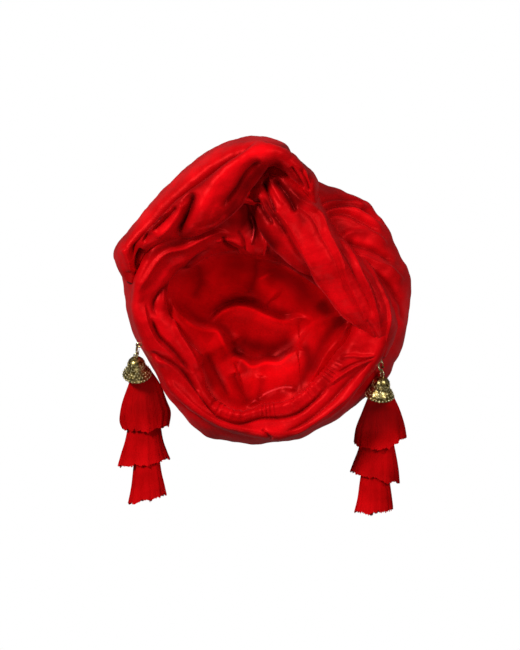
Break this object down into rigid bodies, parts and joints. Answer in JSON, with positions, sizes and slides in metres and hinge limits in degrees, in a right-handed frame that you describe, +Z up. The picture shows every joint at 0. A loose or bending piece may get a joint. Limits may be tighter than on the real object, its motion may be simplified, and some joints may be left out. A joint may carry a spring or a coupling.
{
  "type": "turban",
  "caption": "Pre-tied velvet turban lying on its crown with the opening up, wound and twisted at the brow, with tiered silk tassels on gold bell caps hung from clasps at the rim.",
  "frame": {"origin": "middle of the flat patch of the crown that the turban lies on, at floor level", "axes": "+X to the right of someone looking down into the opening with the brow away, +Y to the brow and its twist, +Z up out of the opening"},
  "size_m": [0.2674, 0.3486, 0.1101],
  "materials": {
    "velvet": "matte",
    "silk": "satin",
    "gold": "polished"
  },
  "bodies": {
    "turban": {"crown": "velvet", "lining": "velvet", "rim_band": "velvet", "left_wrap": "velvet", "right_wrap": "velvet", "ring_left": "gold", "ring_right": "gold", "clasp_left": "gold", "clasp_right": "gold", "link_left": "gold", "link_right": "gold", "cap_left": "gold", "cap_right": "gold", "tassel_left": "silk", "tassel_right": "silk"},
    "left_lever": {"lever_left": "gold"},
    "right_lever": {"lever_right": "gold"}
  },
  "joints": [
    {"name": "left_lever_hinge", "type": "hinge", "parent": "turban", "child": "left_lever", "pos_m": [-0.11269, -0.02593, 0.05475], "axis": [-0.9499, 0.0098, 0.3123], "range_deg": [0, 18], "stiffness_Nm_per_rad": 0.0004},
    {"name": "right_lever_hinge", "type": "hinge", "parent": "turban", "child": "right_lever", "pos_m": [0.10932, -0.03808, 0.05736], "axis": [0.7895, -0.096, 0.6062], "range_deg": [0, 18], "stiffness_Nm_per_rad": 0.0004}
  ]
}
